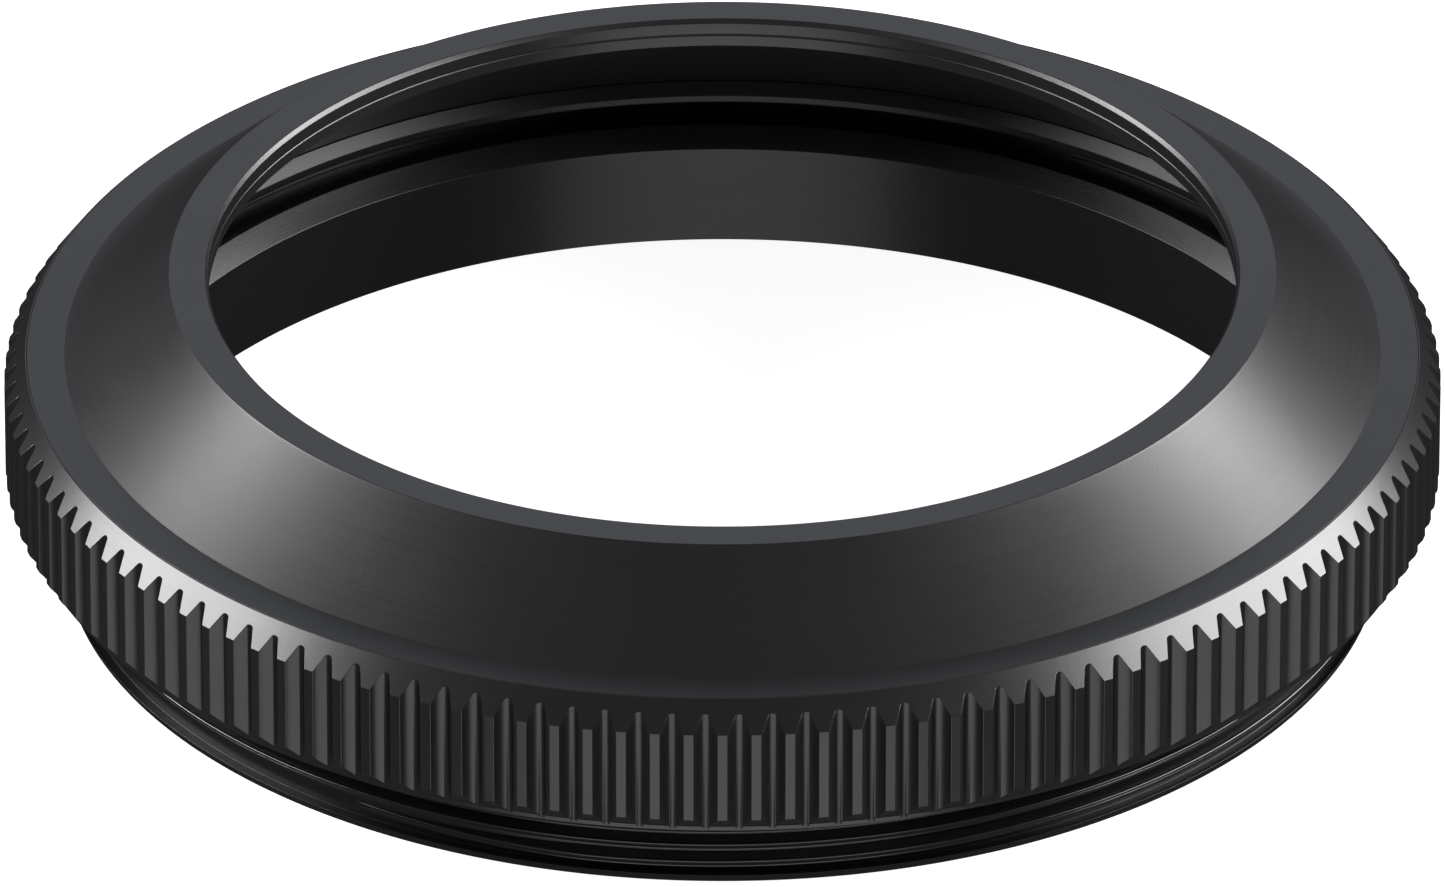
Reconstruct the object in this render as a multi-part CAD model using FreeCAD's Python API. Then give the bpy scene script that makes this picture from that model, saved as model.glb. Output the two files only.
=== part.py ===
"""Screw-in metal lens hood: four turned rings on one axis.

All lengths are in millimetres. The axis of the hood is +Z, pointing to the front of the hood,
and z = 0 is the rear edge that goes into the lens.
"""
import FreeCAD
import Part

import math
import os

# ---- mount ring: male filter thread M52 x 0.75 -------------------------------------------------
THREAD_CREST_R = 26.0
THREAD_PITCH = 0.75
THREAD_DEPTH = 0.41
THREAD_CREST_WIDTH = 0.24
THREAD_FLANK_DEG = 30.0
THREAD_START_Z = 0.76
THREAD_END_Z = 2.45
THREAD_CREST_AT_MINUS_Y_Z = 0.83
THREAD_SINK = 0.03
RELIEF_Z = 2.90
LEAD_IN_R = 25.90
LIP_H = 0.32
NECK_R = 25.45
REAR_BORE_R = 24.58
REAR_BORE_TOP_R = 24.21
REAR_BORE_TOP_Z = 4.36
BEVEL_TOP_R = 24.95
MOUNT_TOP_Z = 5.09
SEAT_Z = 3.29
SEAT_FLANGE_R = 26.90
SEAT_FLANGE_T = 0.70
MOUNT_BARREL_R = 26.30

# ---- fits between the rings ---------------------------------------------------------------------
RUNNING_GAP = 0.03
FIXED_GAP = 0.01
AXIAL_GAP = 0.02

# ---- baffle ring --------------------------------------------------------------------------------
BAFFLE_R = 25.68
BAFFLE_BOTTOM_Z = 5.65
BAFFLE_LIP_Z = 6.00
BAFFLE_TOP_R = 26.02
BAFFLE_TOP_Z = 6.49
BAFFLE_LIP_ROUND = 0.09

# ---- hood shell ---------------------------------------------------------------------------------
BARREL_BORE_R = MOUNT_BARREL_R + RUNNING_GAP
BARREL_R = 27.00
FLANGE_R = 27.27
FLANGE_BOTTOM_Z = 8.20
FLANGE_Z = 8.97
CONE_FOOT_R = 25.81
RIM_OUTER_R = 21.74
RIM_INNER_R = 20.26
RIM_Z = 12.52
RIM_EDGE = 0.08
FRONT_BORE_R = 20.13
FRONT_CHAMFER_Z = 12.36
FRONT_GROOVE_Z = 11.84
FRONT_GROOVE_DEPTH = 0.04
FRONT_BACK_Z = 11.34
INNER_CONE_TOP_R = 20.56
INNER_CONE_FOOT_R = 26.06

# ---- grip ring ----------------------------------------------------------------------------------
GRIP_BORE_R = BARREL_R + FIXED_GAP
GRIP_RECESS_R = FLANGE_R + FIXED_GAP
GRIP_TOP_R = 27.33
GRIP_TIP_R = 28.17
GRIP_ROOT_R = 27.68
GRIP_SHOULDER_Z = 7.84
GRIP_BEVEL_TOP_Z = 4.04
GRIP_BEVEL_BOTTOM_Z = 3.51
GRIP_BOTTOM_Z = SEAT_Z + AXIAL_GAP
TOOTH_COUNT = 136
TOOTH_LAND = 0.385
GROOVE_FLOOR = 0.30
GROOVE_FLOOR_SAG = 0.035

AXIS = FreeCAD.Vector(0, 0, 1)
ORIGIN = FreeCAD.Vector(0, 0, 0)


def polar(radius, angle, z=0.0):
    """A point at a radius and an angle in radians about the hood axis."""
    return FreeCAD.Vector(radius * math.cos(angle), radius * math.sin(angle), z)


def half_section_face(points):
    """A closed face in the XZ plane from (radius, z) points."""
    corners = [FreeCAD.Vector(radius, 0, z) for radius, z in points]
    return Part.Face(Part.makePolygon(corners + corners[:1]))


def turned(points):
    """A ring turned from its half section, a list of (radius, z) points."""
    return half_section_face(points).revolve(ORIGIN, AXIS, 360)


def turned_with_rounds(points, rounds):
    """A ring turned from its half section with some corners rounded.

    rounds maps the index of a corner in points to the radius of its round.
    """
    edges = []
    ends = []
    count = len(points)
    for index, (radius, z) in enumerate(points):
        corner = FreeCAD.Vector(radius, 0, z)
        if index not in rounds:
            ends.append((corner, corner))
            continue
        before = FreeCAD.Vector(points[index - 1][0], 0, points[index - 1][1]) - corner
        after_point = points[(index + 1) % count]
        after = FreeCAD.Vector(after_point[0], 0, after_point[1]) - corner
        half_angle = before.getAngle(after) / 2
        before.normalize()
        after.normalize()
        setback = rounds[index] / math.tan(half_angle)
        start = corner + before * setback
        end = corner + after * setback
        bisector = before + after
        bisector.normalize()
        middle = corner + bisector * (rounds[index] / math.sin(half_angle) - rounds[index])
        edges.append(Part.Arc(start, middle, end).toShape())
        ends.append((start, end))
    for index in range(count):
        leave = ends[index][1]
        arrive = ends[(index + 1) % count][0]
        edges.append(Part.LineSegment(leave, arrive).toShape())
    wire = Part.Wire(Part.__sortEdges__(edges))
    return Part.Face(wire).revolve(ORIGIN, AXIS, 360)


def thread_ridge():
    """The helical ridge of the male thread, its foot sunk a little into the core."""
    half_crest = THREAD_CREST_WIDTH / 2
    flank_run = (THREAD_DEPTH + THREAD_SINK) * math.tan(math.radians(THREAD_FLANK_DEG))
    half_foot = half_crest + flank_run
    foot_r = THREAD_CREST_R - THREAD_DEPTH - THREAD_SINK
    profile = Part.makePolygon([
        FreeCAD.Vector(foot_r, 0, -half_foot),
        FreeCAD.Vector(THREAD_CREST_R, 0, -half_crest),
        FreeCAD.Vector(THREAD_CREST_R, 0, half_crest),
        FreeCAD.Vector(foot_r, 0, half_foot),
        FreeCAD.Vector(foot_r, 0, -half_foot),
    ])
    helix = Part.makeHelix(THREAD_PITCH, THREAD_END_Z - THREAD_START_Z, THREAD_CREST_R)
    sweep = Part.BRepOffsetAPI.MakePipeShell(Part.Wire(helix.Edges))
    sweep.setBiNormalMode(AXIS)
    sweep.add(profile)
    sweep.build()
    sweep.makeSolid()
    ridge = sweep.shape()
    ridge.translate(FreeCAD.Vector(0, 0, THREAD_START_Z))
    turns_to_minus_y = (THREAD_START_Z - THREAD_CREST_AT_MINUS_Y_Z) / THREAD_PITCH
    ridge.rotate(ORIGIN, AXIS, -90 + 360 * turns_to_minus_y)
    return ridge


def mount_ring():
    """Threaded rear ring with its seating flange and the barrel the hood screws onto."""
    core_r = THREAD_CREST_R - THREAD_DEPTH
    flange_top_z = SEAT_Z + SEAT_FLANGE_T
    edge = 0.04
    body = turned([
        (REAR_BORE_R, 0.0),
        (LEAD_IN_R - edge, 0.0),
        (LEAD_IN_R, edge),
        (THREAD_CREST_R, LIP_H - edge),
        (THREAD_CREST_R - edge, LIP_H),
        (core_r, LIP_H),
        (core_r, RELIEF_Z),
        (NECK_R, RELIEF_Z + core_r - NECK_R),
        (NECK_R, SEAT_Z),
        (SEAT_FLANGE_R - edge, SEAT_Z),
        (SEAT_FLANGE_R, SEAT_Z + edge),
        (SEAT_FLANGE_R, flange_top_z),
        (MOUNT_BARREL_R, flange_top_z),
        (MOUNT_BARREL_R, MOUNT_TOP_Z - edge),
        (MOUNT_BARREL_R - edge, MOUNT_TOP_Z),
        (BEVEL_TOP_R, MOUNT_TOP_Z),
        (REAR_BORE_TOP_R, REAR_BORE_TOP_Z),
    ])
    return body.fuse(thread_ridge())


def baffle_ring():
    """Thin ring inside the barrel with a rounded inner lip and a bevel that leans outwards."""
    outer_r = BARREL_BORE_R - RUNNING_GAP
    points = [
        (BAFFLE_R, BAFFLE_BOTTOM_Z),
        (outer_r, BAFFLE_BOTTOM_Z),
        (outer_r, BAFFLE_TOP_Z),
        (BAFFLE_TOP_R, BAFFLE_TOP_Z),
        (BAFFLE_R, BAFFLE_LIP_Z),
    ]
    return turned_with_rounds(points, {0: BAFFLE_LIP_ROUND, 4: BAFFLE_LIP_ROUND})


def hood_shell():
    """Barrel, flat flange, cone and front rim turned from one piece."""
    barrel_bottom_z = SEAT_Z + SEAT_FLANGE_T + AXIAL_GAP
    shoulder_z = BAFFLE_TOP_Z + AXIAL_GAP
    edge = 0.06
    groove = FRONT_GROOVE_DEPTH
    return turned([
        (BARREL_BORE_R, barrel_bottom_z),
        (BARREL_R - edge, barrel_bottom_z),
        (BARREL_R, barrel_bottom_z + edge),
        (BARREL_R, FLANGE_BOTTOM_Z),
        (FLANGE_R, FLANGE_BOTTOM_Z),
        (FLANGE_R, FLANGE_Z - edge / 2),
        (FLANGE_R - edge / 2, FLANGE_Z),
        (CONE_FOOT_R, FLANGE_Z),
        (RIM_OUTER_R, RIM_Z - RIM_EDGE),
        (RIM_OUTER_R - RIM_EDGE, RIM_Z),
        (RIM_INNER_R, RIM_Z),
        (FRONT_BORE_R, FRONT_CHAMFER_Z),
        (FRONT_BORE_R, FRONT_GROOVE_Z + groove),
        (FRONT_BORE_R + groove, FRONT_GROOVE_Z),
        (FRONT_BORE_R, FRONT_GROOVE_Z - groove),
        (FRONT_BORE_R, FRONT_BACK_Z),
        (INNER_CONE_TOP_R, FRONT_BACK_Z),
        (INNER_CONE_FOOT_R, shoulder_z),
        (BARREL_BORE_R, shoulder_z),
    ])


def knurl_column():
    """An upright column with the toothed outline of the grip, as tall as the grip ring."""
    step = 2 * math.pi / TOOTH_COUNT
    half_land = TOOTH_LAND / GRIP_TIP_R / 2
    half_floor = GROOVE_FLOOR / GRIP_ROOT_R / 2
    first = -math.pi / 2
    edges = []
    for index in range(TOOTH_COUNT):
        land = first + index * step
        floor = land + step / 2
        land_start = polar(GRIP_TIP_R, land - half_land)
        land_end = polar(GRIP_TIP_R, land + half_land)
        floor_start = polar(GRIP_ROOT_R + GROOVE_FLOOR_SAG, floor - half_floor)
        floor_end = polar(GRIP_ROOT_R + GROOVE_FLOOR_SAG, floor + half_floor)
        next_land = polar(GRIP_TIP_R, land + step - half_land)
        edges.append(Part.Arc(land_start, polar(GRIP_TIP_R, land), land_end).toShape())
        edges.append(Part.LineSegment(land_end, floor_start).toShape())
        edges.append(Part.Arc(floor_start, polar(GRIP_ROOT_R, floor), floor_end).toShape())
        edges.append(Part.LineSegment(floor_end, next_land).toShape())
    outline = Part.Face(Part.Wire(edges))
    outline.translate(FreeCAD.Vector(0, 0, GRIP_BEVEL_BOTTOM_Z - 0.1))
    return outline.extrude(FreeCAD.Vector(0, 0, FLANGE_Z - GRIP_BEVEL_BOTTOM_Z + 0.2))


def grip_ring():
    """Knurled ring: grooves run out through the front chamfer and stop above a plain flange."""
    floor_r = GRIP_ROOT_R - 0.02
    edge = 0.05
    envelope = turned([
        (GRIP_BORE_R, GRIP_BEVEL_BOTTOM_Z),
        (floor_r, GRIP_BEVEL_BOTTOM_Z),
        (GRIP_TIP_R, GRIP_BEVEL_TOP_Z),
        (GRIP_TIP_R + 0.1, GRIP_BEVEL_TOP_Z + 0.1),
        (GRIP_TIP_R + 0.1, GRIP_SHOULDER_Z - 0.1),
        (GRIP_TIP_R, GRIP_SHOULDER_Z),
        (GRIP_TOP_R, FLANGE_Z),
        (GRIP_RECESS_R, FLANGE_Z),
        (GRIP_RECESS_R, FLANGE_BOTTOM_Z),
        (GRIP_BORE_R, FLANGE_BOTTOM_Z),
    ])
    flange = turned([
        (GRIP_BORE_R, GRIP_BOTTOM_Z),
        (GRIP_ROOT_R - edge, GRIP_BOTTOM_Z),
        (GRIP_ROOT_R, GRIP_BOTTOM_Z + edge),
        (GRIP_ROOT_R, GRIP_BEVEL_BOTTOM_Z),
        (GRIP_BORE_R, GRIP_BEVEL_BOTTOM_Z),
    ])
    return envelope.common(knurl_column()).fuse(flange)


def main():
    os.makedirs("parts", exist_ok=True)
    mount_ring().exportStep("parts/mount_ring.step")
    baffle_ring().exportStep("parts/baffle_ring.step")
    hood_shell().exportStep("parts/hood_shell.step")
    grip_ring().exportStep("parts/grip_ring.step")


main()
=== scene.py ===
"""Looks of the screw-in lens hood: fine meshes of its four rings, finishes, floor and light."""

import math

import bpy
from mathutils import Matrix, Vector


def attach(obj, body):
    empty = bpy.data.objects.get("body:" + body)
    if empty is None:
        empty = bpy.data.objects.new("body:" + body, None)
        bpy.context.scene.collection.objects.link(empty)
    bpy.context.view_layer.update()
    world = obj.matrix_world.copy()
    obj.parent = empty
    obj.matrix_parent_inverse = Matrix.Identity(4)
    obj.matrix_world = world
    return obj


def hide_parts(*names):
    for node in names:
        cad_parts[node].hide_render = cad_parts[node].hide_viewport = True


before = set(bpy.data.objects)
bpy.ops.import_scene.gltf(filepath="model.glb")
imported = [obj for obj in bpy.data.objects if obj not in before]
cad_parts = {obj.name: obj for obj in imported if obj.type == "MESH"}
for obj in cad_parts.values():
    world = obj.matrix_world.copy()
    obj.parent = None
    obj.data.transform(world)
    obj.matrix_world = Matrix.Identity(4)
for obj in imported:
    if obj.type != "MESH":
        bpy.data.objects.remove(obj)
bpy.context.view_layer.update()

MM = 0.001
TOOTH_COUNT = 136
LATHE_COLUMNS = 8 * TOOTH_COUNT
CRISP_DEG = 35

# ---- sizes of the rings, in millimetres, z = 0 at the rear edge ----------------------------------
THREAD_CREST_R = 26.0
THREAD_DEPTH = 0.41
THREAD_PITCH = 0.75
THREAD_CREST_WIDTH = 0.24
THREAD_FLANK_DEG = 30.0
THREAD_START_Z = 0.76
THREAD_END_Z = 2.45
THREAD_CREST_AT_MINUS_Y_Z = 0.83
THREAD_SINK = 0.03
THREAD_FADE_TURNS = 0.06
THREAD_STEPS_PER_TURN = 540
THREAD_CRISP_DEG = 45
CREST_CORNER = 0.030
CREST_CORNER_DROP = 0.003
CREST_CORNER_INSET = 0.001
CREST_EDGE_START = 0.012
CREST_EDGE_END = 0.058
CREST_HOLLOW = 0.030
CORE_R = THREAD_CREST_R - THREAD_DEPTH
LEAD_IN_R = 25.90
LIP_H = 0.32
NECK_FOOT_Z = 2.90
NECK_R = 25.45
NECK_Z = 3.01
SEAT_Z = 3.29
SEAT_FLANGE_R = 26.90
SEAT_FLANGE_TOP_Z = 3.99
MOUNT_BARREL_R = 26.30
MOUNT_TOP_Z = 5.09
MOUNT_BEVEL_TOP_R = 24.95
MOUNT_BEVEL_FOOT_Z = 4.36
MOUNT_BORE_R = 24.21
MOUNT_REAR_BORE_R = 24.58

BAFFLE_LIP_R = 25.68
BAFFLE_LIP_ROUND = 0.10
BAFFLE_BOTTOM_Z = 5.65
BAFFLE_ROUND_TOP_Z = 5.97
BAFFLE_BEVEL_TOP_R = 26.02
BAFFLE_TOP_Z = 6.49

BARREL_BORE_R = 26.33
BARREL_R = 27.00
BARREL_BOTTOM_Z = 4.01
BAFFLE_SEAT_Z = 6.51
FLANGE_R = 27.27
FLANGE_BOTTOM_Z = 8.20
FLANGE_Z = 8.97
CONE_FOOT_R = 25.81
RIM_OUTER_R = 21.74
RIM_CORNER_Z = 12.44
RIM_FLAT_R = 21.66
RIM_INNER_R = 20.26
RIM_Z = 12.52
FRONT_BORE_R = 20.13
FRONT_BORE_TOP_Z = 12.36
FRONT_BORE_BOTTOM_Z = 11.34
BORE_LINE_Z = 11.84
BORE_LINE_DEPTH = 0.04
HOLLOW_TOP_R = 20.56
HOLLOW_FOOT_R = 26.06

GRIP_TIP_R = 28.17
GRIP_ROOT_R = 27.68
GRIP_TOP_R = 27.33
GRIP_RECESS_R = 27.28
GRIP_BORE_R = 27.01
GRIP_SHOULDER_Z = 7.84
GRIP_BEVEL_TOP_Z = 4.04
GRIP_BEVEL_BOTTOM_Z = 3.51
GRIP_BOTTOM_Z = 3.31
GRIP_FLANGE_EDGE = 0.01
TOOTH_LAND = 0.385
GROOVE_FLOOR = 0.30
GROOVE_FLOOR_SAG = 0.035
GROOVE_HALF_COLUMNS = 4

# ---- camera --------------------------------------------------------------------------------------
CAMERA_PLACE = Vector((0.0, -0.8582, 0.4953))
CAMERA_PITCH_DEG = 29.76
CAMERA_LENS_MM = 626.9

# ---- finish, floor and light ---------------------------------------------------------------------
SHEEN_SCALE = 260
TURNING_SCALE = 12000
ETCH_SCALE = 9000
ETCH_HEIGHT = 0.01 * MM
ROUGHNESS_SPREAD = 0.03
FLOOR_HALF = 3.0
FLOOR_DROP = 0.05 * MM
BOX_DISTANCE = 0.7
PANEL_DISTANCE = 1.0
HOOD_PLACE = Vector((0, 0, 0))


# ---- meshes --------------------------------------------------------------------------------------
def polar(radius, angle, z):
    """A point in metres from a radius and height in millimetres."""
    return (radius * math.cos(angle) * MM, radius * math.sin(angle) * MM, z * MM)


def add_mesh(name, vertices, faces, crisp_deg=CRISP_DEG):
    """A smooth-shaded mesh object; edges sharper than crisp_deg stay crisp."""
    mesh = bpy.data.meshes.new(name)
    mesh.from_pydata(vertices, [], faces)
    mesh.validate()
    mesh.shade_smooth()
    mesh.set_sharp_from_angle(angle=math.radians(crisp_deg))
    obj = bpy.data.objects.new(name, mesh)
    bpy.context.scene.collection.objects.link(obj)
    return obj


def break_edges(obj, width_mm):
    """Rounds the sharp edges a little, as on a machined and anodised part."""
    bevel = obj.modifiers.new("edge_break", "BEVEL")
    bevel.width = width_mm * MM
    bevel.segments = 2
    bevel.limit_method = "ANGLE"
    bevel.angle_limit = math.radians(CRISP_DEG)
    bevel.harden_normals = True
    bevel.use_clamp_overlap = True


def ring_faces(rows, columns):
    """Quads of a grid of rows by columns that closes both round the axis and round the section."""
    faces = []
    for row in range(rows):
        upper = (row + 1) % rows
        for column in range(columns):
            after = (column + 1) % columns
            faces.append((row * columns + column, row * columns + after,
                          upper * columns + after, upper * columns + column))
    return faces


def turned(name, section):
    """A ring turned from a closed half section of (radius, z) points, listed anticlockwise."""
    vertices = []
    for radius, z in section:
        for column in range(LATHE_COLUMNS):
            vertices.append(polar(radius, 2 * math.pi * column / LATHE_COLUMNS, z))
    return add_mesh(name, vertices, ring_faces(len(section), LATHE_COLUMNS))


def arc_points(centre_r, centre_z, radius, start_deg, end_deg, count):
    """Points of an arc in the half section."""
    points = []
    for index in range(count):
        angle = math.radians(start_deg + (end_deg - start_deg) * index / (count - 1))
        points.append((centre_r + radius * math.cos(angle), centre_z + radius * math.sin(angle)))
    return points


def mount_body():
    """Rear ring without its thread ridge."""
    return turned("mount_body", [
        (MOUNT_REAR_BORE_R, 0.0),
        (LEAD_IN_R, 0.0),
        (THREAD_CREST_R, LIP_H),
        (CORE_R, LIP_H),
        (CORE_R, NECK_FOOT_Z),
        (NECK_R, NECK_Z),
        (NECK_R, SEAT_Z),
        (SEAT_FLANGE_R, SEAT_Z),
        (SEAT_FLANGE_R, SEAT_FLANGE_TOP_Z),
        (MOUNT_BARREL_R, SEAT_FLANGE_TOP_Z),
        (MOUNT_BARREL_R, MOUNT_TOP_Z),
        (MOUNT_BEVEL_TOP_R, MOUNT_TOP_Z),
        (MOUNT_BORE_R, MOUNT_BEVEL_FOOT_Z),
    ])


def ridge_section(depth):
    """(radius, z) points of the ridge. The crest is hollow here only; the CAD crest is flat."""
    crest_r = CORE_R + depth
    half_crest = THREAD_CREST_WIDTH / 2
    flank = math.tan(math.radians(THREAD_FLANK_DEG))
    lower = [
        (CORE_R - THREAD_SINK, -half_crest - (depth + THREAD_SINK) * flank),
        (crest_r - CREST_CORNER, -half_crest - CREST_CORNER * flank),
        (crest_r - CREST_CORNER_DROP, -half_crest + CREST_CORNER_INSET),
        (crest_r, -half_crest + CREST_EDGE_START),
        (crest_r, -half_crest + CREST_EDGE_END),
    ]
    upper = [(radius, -z) for radius, z in reversed(lower)]
    return lower + [(crest_r - CREST_HOLLOW, 0.0)] + upper


def thread_ridge():
    """Helical ridge of the male thread; it fades into the core at both ends."""
    turns = (THREAD_END_Z - THREAD_START_Z) / THREAD_PITCH
    steps = int(turns * THREAD_STEPS_PER_TURN)
    minus_y_turn = -0.25
    start_turn = minus_y_turn + (THREAD_START_Z - THREAD_CREST_AT_MINUS_Y_Z) / THREAD_PITCH
    vertices = []
    for step in range(steps + 1):
        turn = turns * step / steps
        fade = min(1.0, turn / THREAD_FADE_TURNS, (turns - turn) / THREAD_FADE_TURNS)
        section = ridge_section(THREAD_DEPTH * fade)
        middle = THREAD_START_Z + turn * THREAD_PITCH
        angle = 2 * math.pi * (start_turn + turn)
        for radius, z in section:
            vertices.append(polar(radius, angle, middle + z))
    count = len(section)
    faces = []
    for step in range(steps):
        first = step * count
        for side in range(count):
            other = (side + 1) % count
            faces.append((first + side, first + count + side, first + count + other, first + other))
    faces.append(tuple(range(count)))
    faces.append(tuple(reversed(range(steps * count, steps * count + count))))
    return add_mesh("thread_ridge", vertices, faces, THREAD_CRISP_DEG)


def baffle_body():
    """Thin inner ring with a rounded lip and a bevel that leans outwards."""
    centre_r = BAFFLE_LIP_R + BAFFLE_LIP_ROUND
    return turned("baffle_body", [
        *arc_points(centre_r, BAFFLE_BOTTOM_Z + BAFFLE_LIP_ROUND, BAFFLE_LIP_ROUND, 180, 270, 6),
        (MOUNT_BARREL_R, BAFFLE_BOTTOM_Z),
        (MOUNT_BARREL_R, BAFFLE_TOP_Z),
        (BAFFLE_BEVEL_TOP_R, BAFFLE_TOP_Z),
        *arc_points(centre_r, BAFFLE_ROUND_TOP_Z, BAFFLE_LIP_ROUND, 145, 180, 4),
    ])


def shell_body():
    """Barrel, flange, cone and rim of the hood."""
    return turned("shell_body", [
        (BARREL_BORE_R, BARREL_BOTTOM_Z),
        (BARREL_R, BARREL_BOTTOM_Z),
        (BARREL_R, FLANGE_BOTTOM_Z),
        (FLANGE_R, FLANGE_BOTTOM_Z),
        (FLANGE_R, FLANGE_Z),
        (CONE_FOOT_R, FLANGE_Z),
        (RIM_OUTER_R, RIM_CORNER_Z),
        (RIM_FLAT_R, RIM_Z),
        (RIM_INNER_R, RIM_Z),
        (FRONT_BORE_R, FRONT_BORE_TOP_Z),
        (FRONT_BORE_R, BORE_LINE_Z + BORE_LINE_DEPTH),
        (FRONT_BORE_R + BORE_LINE_DEPTH, BORE_LINE_Z),
        (FRONT_BORE_R, BORE_LINE_Z - BORE_LINE_DEPTH),
        (FRONT_BORE_R, FRONT_BORE_BOTTOM_Z),
        (HOLLOW_TOP_R, FRONT_BORE_BOTTOM_Z),
        (HOLLOW_FOOT_R, BAFFLE_SEAT_Z),
        (BARREL_BORE_R, BAFFLE_SEAT_Z),
    ])


def tooth_outline():
    """(radius, angle) of each column of the knurl, all the way round from the -Y side."""
    step = 2 * math.pi / TOOTH_COUNT
    half_land = TOOTH_LAND / GRIP_TIP_R / 2
    half_floor = GROOVE_FLOOR / GRIP_ROOT_R / 2
    outline = []
    for tooth in range(TOOTH_COUNT):
        land = -math.pi / 2 + tooth * step
        floor = land + step / 2
        outline.append((GRIP_TIP_R, land - half_land))
        outline.append((GRIP_TIP_R, land))
        outline.append((GRIP_TIP_R, land + half_land))
        for part in range(-GROOVE_HALF_COLUMNS, GROOVE_HALF_COLUMNS + 1):
            across = part / GROOVE_HALF_COLUMNS
            outline.append((GRIP_ROOT_R + GROOVE_FLOOR_SAG * across ** 2, floor + half_floor * across))
    return outline


def chamfer_z(radius):
    """Height of the front chamfer of the grip at a radius."""
    along = (radius - GRIP_TOP_R) / (GRIP_TIP_R - GRIP_TOP_R)
    return FLANGE_Z + along * (GRIP_SHOULDER_Z - FLANGE_Z)


def bevel_z(radius):
    """Height of the bevel under the teeth at a radius."""
    along = (radius - GRIP_ROOT_R) / (GRIP_TIP_R - GRIP_ROOT_R)
    return GRIP_BEVEL_BOTTOM_Z + along * (GRIP_BEVEL_TOP_Z - GRIP_BEVEL_BOTTOM_Z)


def grip_body():
    """Knurled ring: the grooves run out through the front chamfer."""
    outline = tooth_outline()
    rows = [
        [(GRIP_BORE_R, GRIP_BOTTOM_Z)] * len(outline),
        [(GRIP_ROOT_R, GRIP_BOTTOM_Z)] * len(outline),
        [(GRIP_ROOT_R, GRIP_BEVEL_BOTTOM_Z - GRIP_FLANGE_EDGE)] * len(outline),
        [(radius, bevel_z(radius)) for radius, _ in outline],
        [(radius, chamfer_z(radius)) for radius, _ in outline],
        [(GRIP_TOP_R, FLANGE_Z)] * len(outline),
        [(GRIP_RECESS_R, FLANGE_Z)] * len(outline),
        [(GRIP_RECESS_R, FLANGE_BOTTOM_Z)] * len(outline),
        [(GRIP_BORE_R, FLANGE_BOTTOM_Z)] * len(outline),
    ]
    vertices = []
    for row in rows:
        for (radius, z), (_, angle) in zip(row, outline):
            vertices.append(polar(radius, angle, z))
    return add_mesh("grip_body", vertices, ring_faces(len(rows), len(outline)))


# ---- finishes ------------------------------------------------------------------------------------
def link(tree, source, output, target, socket):
    """Joins an output to an input."""
    tree.links.new(source.outputs[output], target.inputs[socket])


def turning_marks(tree, place):
    """Fine uneven rings round the axis, left by the lathe: a value between 0 and 1."""
    flat = tree.nodes.new("ShaderNodeVectorMath")
    flat.operation = "MULTIPLY"
    flat.inputs[1].default_value = (1, 1, 0)
    link(tree, place, "Object", flat, 0)
    radius = tree.nodes.new("ShaderNodeVectorMath")
    radius.operation = "LENGTH"
    link(tree, flat, "Vector", radius, 0)
    axes = tree.nodes.new("ShaderNodeSeparateXYZ")
    link(tree, place, "Object", axes, "Vector")
    section = tree.nodes.new("ShaderNodeCombineXYZ")
    link(tree, radius, "Value", section, "X")
    link(tree, axes, "Z", section, "Y")
    rings = tree.nodes.new("ShaderNodeTexNoise")
    rings.noise_dimensions = "2D"
    rings.inputs["Scale"].default_value = TURNING_SCALE
    rings.inputs["Detail"].default_value = 3
    link(tree, section, "Vector", rings, "Vector")
    return rings


def anodised(name, colour, roughness, ior, grain):
    """Black anodised aluminium: etched micro grain, uneven sheen and faint turning marks."""
    material = bpy.data.materials.new(name)
    material.use_nodes = True
    tree = material.node_tree
    shader = tree.nodes["Principled BSDF"]
    shader.inputs["Base Color"].default_value = (*colour, 1)
    shader.inputs["Metallic"].default_value = 0.0
    shader.inputs["IOR"].default_value = ior
    place = tree.nodes.new("ShaderNodeTexCoord")

    clouds = tree.nodes.new("ShaderNodeTexNoise")
    clouds.inputs["Scale"].default_value = SHEEN_SCALE
    clouds.inputs["Detail"].default_value = 4
    link(tree, place, "Object", clouds, "Vector")
    sheen = tree.nodes.new("ShaderNodeMapRange")
    sheen.inputs["To Min"].default_value = roughness - ROUGHNESS_SPREAD
    sheen.inputs["To Max"].default_value = roughness + ROUGHNESS_SPREAD
    link(tree, clouds, "Fac", sheen, "Value")
    lines = tree.nodes.new("ShaderNodeMapRange")
    lines.inputs["To Min"].default_value = -ROUGHNESS_SPREAD
    lines.inputs["To Max"].default_value = ROUGHNESS_SPREAD
    link(tree, turning_marks(tree, place), "Fac", lines, "Value")
    total = tree.nodes.new("ShaderNodeMath")
    total.operation = "ADD"
    link(tree, sheen, "Result", total, 0)
    link(tree, lines, "Result", total, 1)
    link(tree, total, "Value", shader, "Roughness")

    etch = tree.nodes.new("ShaderNodeTexNoise")
    etch.inputs["Scale"].default_value = ETCH_SCALE
    etch.inputs["Detail"].default_value = 2
    link(tree, place, "Object", etch, "Vector")
    bump = tree.nodes.new("ShaderNodeBump")
    bump.inputs["Strength"].default_value = grain
    bump.inputs["Distance"].default_value = ETCH_HEIGHT
    link(tree, etch, "Fac", bump, "Height")
    link(tree, bump, "Normal", shader, "Normal")
    return material


def finish_piece(obj, material, body, node):
    """Gives a mesh and the CAD node that it stands for their finish, attaches the mesh to its body and
    hides the CAD node.
    """
    for mesh in (obj.data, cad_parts[node].data):
        mesh.materials.clear()
        mesh.materials.append(material)
    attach(obj, body)
    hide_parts(node)


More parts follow.
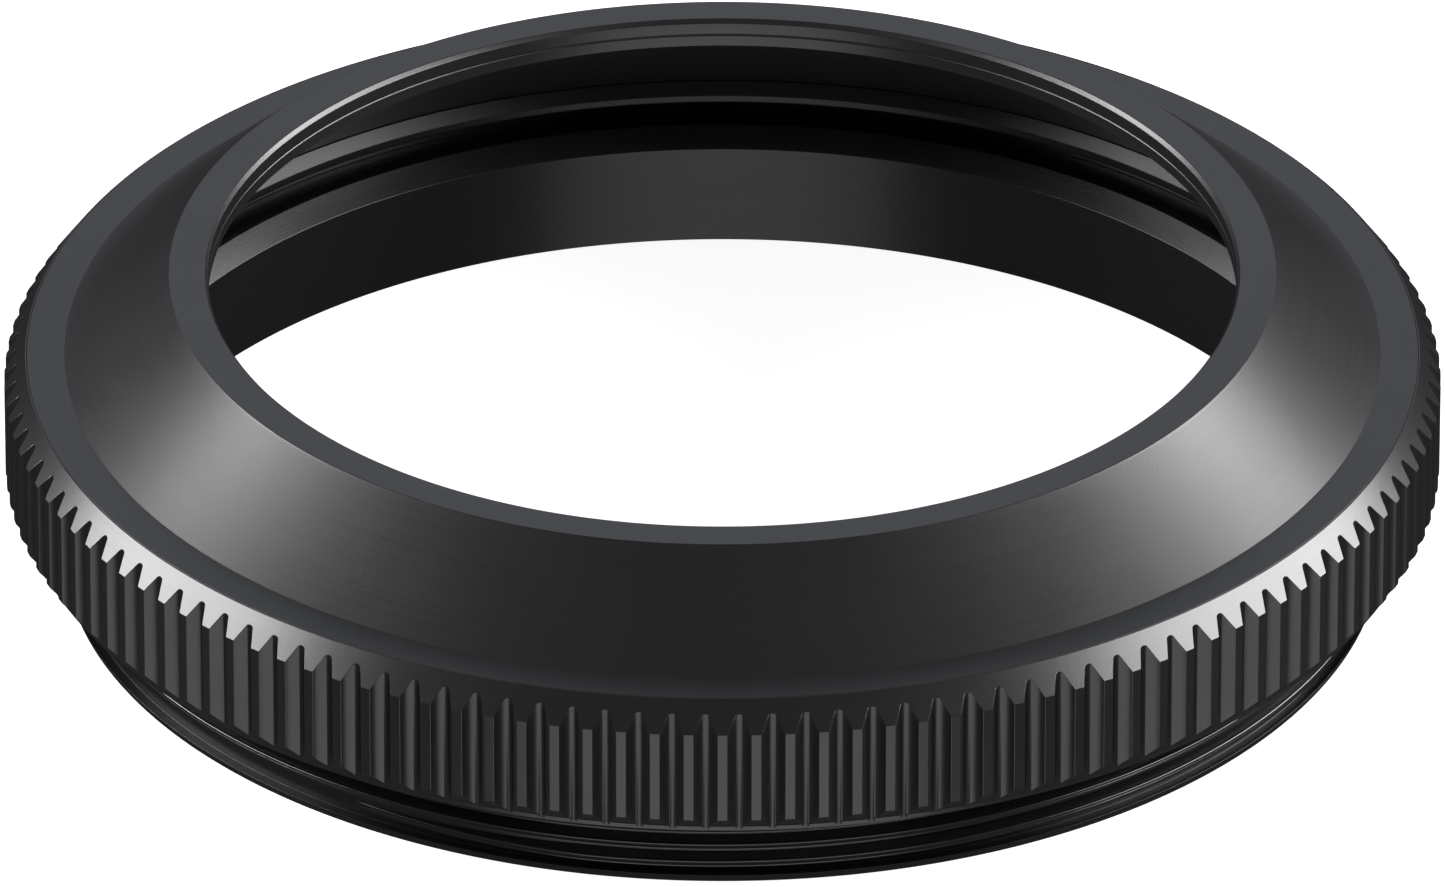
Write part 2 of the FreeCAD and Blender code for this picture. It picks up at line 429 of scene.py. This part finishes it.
# ---- stage ---------------------------------------------------------------------------------------
def floor():
    """A wide plain white floor, bright enough to stay white, that the black finish does not mirror."""
    signs = ((-1, -1), (1, -1), (1, 1), (-1, 1))
    mesh = bpy.data.meshes.new("floor")
    mesh.from_pydata([(x * FLOOR_HALF, y * FLOOR_HALF, -FLOOR_DROP) for x, y in signs], [], [(0, 1, 2, 3)])
    obj = bpy.data.objects.new("floor", mesh)
    bpy.context.scene.collection.objects.link(obj)
    material = bpy.data.materials.new("floor_paper")
    material.use_nodes = True
    shader = material.node_tree.nodes["Principled BSDF"]
    shader.inputs["Base Color"].default_value = (0.40, 0.40, 0.40, 1)
    shader.inputs["Roughness"].default_value = 0.9
    shader.inputs["Specular IOR Level"].default_value = 0.0
    shader.inputs["Emission Color"].default_value = (1, 1, 1, 1)
    shader.inputs["Emission Strength"].default_value = 0.92
    mesh.materials.append(material)
    obj.visible_glossy = False
    obj.visible_shadow = False


def softbox(name, place, width, height, power, colour=(1, 1, 1)):
    """A rectangular soft light that faces the hood."""
    data = bpy.data.lights.new(name, "AREA")
    data.shape = "RECTANGLE"
    data.size = width
    data.size_y = height
    data.energy = power
    data.color = colour
    obj = bpy.data.objects.new(name, data)
    obj.location = place
    obj.rotation_euler = (HOOD_PLACE - place).to_track_quat("-Z", "Y").to_euler()
    bpy.context.scene.collection.objects.link(obj)


def direction(azimuth_deg, elevation_deg, distance):
    """A place round the hood: azimuth from +X towards +Y, elevation above the floor."""
    azimuth = math.radians(azimuth_deg)
    elevation = math.radians(elevation_deg)
    return Vector((math.cos(azimuth) * math.cos(elevation), math.sin(azimuth) * math.cos(elevation),
                   math.sin(elevation))) * distance


def eased(tree, source, output, near, far, near_value, far_value):
    """A value that eases from near_value to far_value while the source goes from near to far."""
    step = tree.nodes.new("ShaderNodeMapRange")
    step.interpolation_type = "SMOOTHSTEP"
    step.inputs["From Min"].default_value = near
    step.inputs["From Max"].default_value = far
    step.inputs["To Min"].default_value = near_value
    step.inputs["To Max"].default_value = far_value
    link(tree, source, output, step, "Value")
    return step


def surround():
    """Dim light from above, less from below, and nearly none from low behind the hood."""
    world = bpy.data.worlds.new("surround")
    world.use_nodes = True
    tree = world.node_tree
    place = tree.nodes.new("ShaderNodeTexCoord")
    axes = tree.nodes.new("ShaderNodeSeparateXYZ")
    link(tree, place, "Generated", axes, "Vector")
    above = eased(tree, axes, "Z", -0.20, 0.05, 0.0, 1.0)
    below = eased(tree, axes, "Y", -0.20, 0.85, 0.18, 0.02)
    overhead = eased(tree, axes, "Z", 0.05, 0.80, 0.10, 0.30)
    level = tree.nodes.new("ShaderNodeMix")
    level.data_type = "FLOAT"
    link(tree, above, "Result", level, 0)
    link(tree, below, "Result", level, 2)
    link(tree, overhead, "Result", level, 3)
    background = tree.nodes["Background"]
    background.inputs["Color"].default_value = (1, 1, 1, 1)
    link(tree, level, 0, background, "Strength")
    bpy.context.scene.world = world


def lights():
    """Softboxes left, right and low in front, a cool panel behind, and a dim surround."""
    softbox("right_box", direction(1, 23, BOX_DISTANCE), width=0.72, height=0.31, power=15.0)
    softbox("left_box", direction(176, 22, BOX_DISTANCE), width=0.52, height=0.29, power=10.0)
    softbox("back_panel", direction(90, 29, PANEL_DISTANCE), width=1.5, height=0.6, power=2.1,
            colour=(0.84, 0.90, 1.0))
    softbox("front_low_box", direction(270, -30, BOX_DISTANCE), width=0.75, height=0.30, power=1.7)
    surround()
    bpy.context.scene.view_settings.view_transform = "Standard"


def camera():
    """Long lens looking down on the front of the hood."""
    data = bpy.data.cameras.new("camera")
    data.sensor_width = 36
    data.lens = CAMERA_LENS_MM
    data.clip_start = 0.01
    obj = bpy.data.objects.new("camera", data)
    obj.location = CAMERA_PLACE
    obj.rotation_euler = (math.radians(90 - CAMERA_PITCH_DEG), 0, 0)
    bpy.context.scene.collection.objects.link(obj)
    bpy.context.scene.camera = obj


# ---- build ---------------------------------------------------------------------------------------
shell_finish = anodised("anodised_shell", (0.003, 0.003, 0.0035), roughness=0.34, ior=1.45, grain=0.20)
grip_finish = anodised("anodised_grip", (0.003, 0.003, 0.0033), roughness=0.30, ior=1.45, grain=0.20)
mount_finish = anodised("anodised_mount", (0.002, 0.002, 0.0022), roughness=0.28, ior=1.36, grain=0.15)
thread_finish = anodised("anodised_thread", (0.002, 0.002, 0.0022), roughness=0.23, ior=1.46, grain=0.15)
baffle_finish = anodised("matt_baffle", (0.002, 0.002, 0.002), roughness=0.40, ior=1.32, grain=0.15)

mount = mount_body()
break_edges(mount, 0.02)
finish_piece(mount, mount_finish, "mount", "mount_ring")

ridge = thread_ridge()
finish_piece(ridge, thread_finish, "mount", "mount_ring")

baffle = baffle_body()
finish_piece(baffle, baffle_finish, "lift", "baffle_ring")

shell = shell_body()
break_edges(shell, 0.025)
finish_piece(shell, shell_finish, "hood", "hood_shell")

grip = grip_body()
break_edges(grip, 0.02)
finish_piece(grip, grip_finish, "hood", "grip_ring")

floor()
lights()
camera()


bpy.context.view_layer.update()
